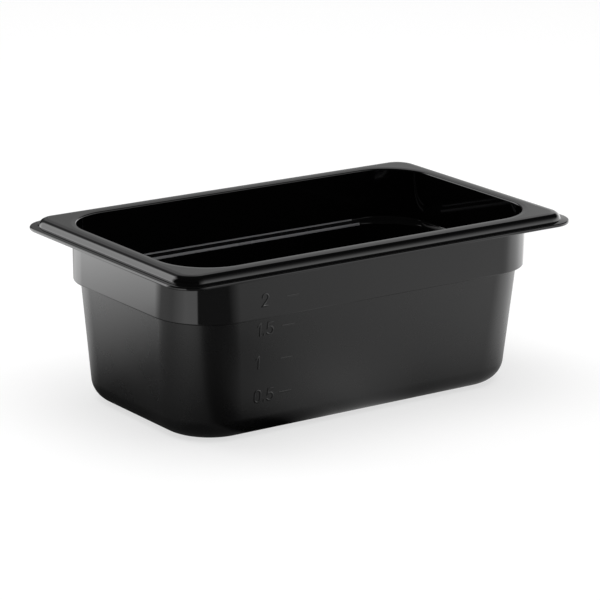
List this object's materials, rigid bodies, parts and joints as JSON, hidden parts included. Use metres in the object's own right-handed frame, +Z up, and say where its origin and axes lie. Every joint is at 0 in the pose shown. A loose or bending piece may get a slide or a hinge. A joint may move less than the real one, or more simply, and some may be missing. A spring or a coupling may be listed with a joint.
{
  "type": "food pan",
  "caption": "Deep rectangular black plastic food pan with rounded corners, a stepped wall for stacking and a wide rim with a thin lip all round, for hanging in a counter well.",
  "frame": {"origin": "centre of the flat base, on the surface it stands on", "axes": "+Z up, X along the long side, Y across"},
  "size_m": [0.265, 0.162, 0.0994],
  "materials": {
    "black_plastic": "glossy rim, shoulder and inside; satin lower wall outside"
  },
  "bodies": {
    "root": {"pan": "black_plastic"}
  },
  "joints": []
}
